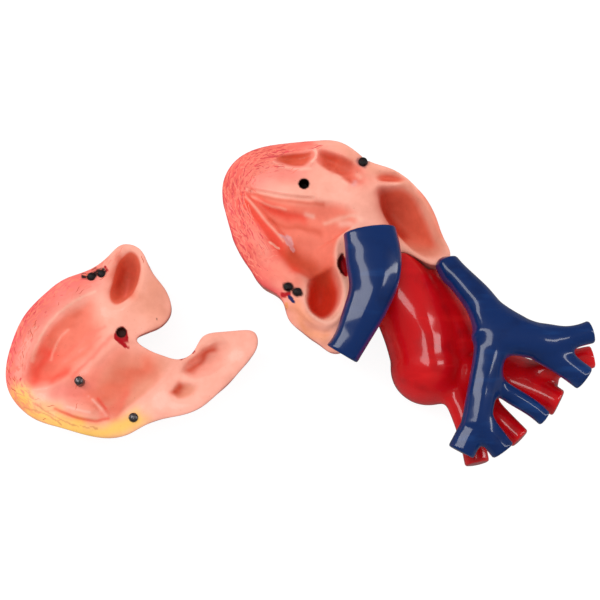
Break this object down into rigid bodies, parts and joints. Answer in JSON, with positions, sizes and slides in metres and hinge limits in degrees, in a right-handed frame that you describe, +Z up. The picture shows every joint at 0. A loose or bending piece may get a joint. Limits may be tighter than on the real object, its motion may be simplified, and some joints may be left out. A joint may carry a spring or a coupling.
{
  "type": "human heart anatomy model",
  "caption": "Life-size painted heart model in two halves lying open: back half with the great vessels, cover half with steel pin and magnets, chambers shown.",
  "frame": {"origin": "on the table under the middle of the whole layout", "axes": "+X from the cover towards the vessels, along the layout's length; +Y from the vessels' ends towards the ventricles; +Z up, out of both section faces"},
  "size_m": [0.2942, 0.1658, 0.0548],
  "materials": {
    "flesh_paint": "hand-painted soft plastic, satin to gloss",
    "vein_blue": "glossy navy enamel",
    "artery_red": "glossy red enamel",
    "steel_pin": "worn bare steel",
    "magnet": "dull dark metal with paint smears"
  },
  "bodies": {
    "back_half": {"back_casting": "flesh_paint", "pulmonary_trunk": "vein_blue", "aorta": "artery_red", "brachiocephalic_artery": "artery_red", "right_subclavian_artery": "artery_red", "left_carotid_artery": "artery_red", "left_subclavian_artery": "artery_red", "superior_vena_cava": "vein_blue", "left_brachiocephalic_vein": "vein_blue", "inferior_thyroid_vein": "vein_blue", "inferior_vena_cava": "vein_blue", "pulmonary_veins": "artery_red", "back_margin_magnet": "magnet", "back_side_magnets": "magnet"},
    "front_half": {"front_casting": "flesh_paint", "locating_pin": "steel_pin", "front_margin_magnet": "magnet", "front_side_magnets": "magnet"}
  },
  "joints": [
    {"name": "cover_lift", "type": "slide", "parent": "back_half", "child": "front_half", "axis": [0, 0, 1], "range_m": [0, 0.15]}
  ]
}
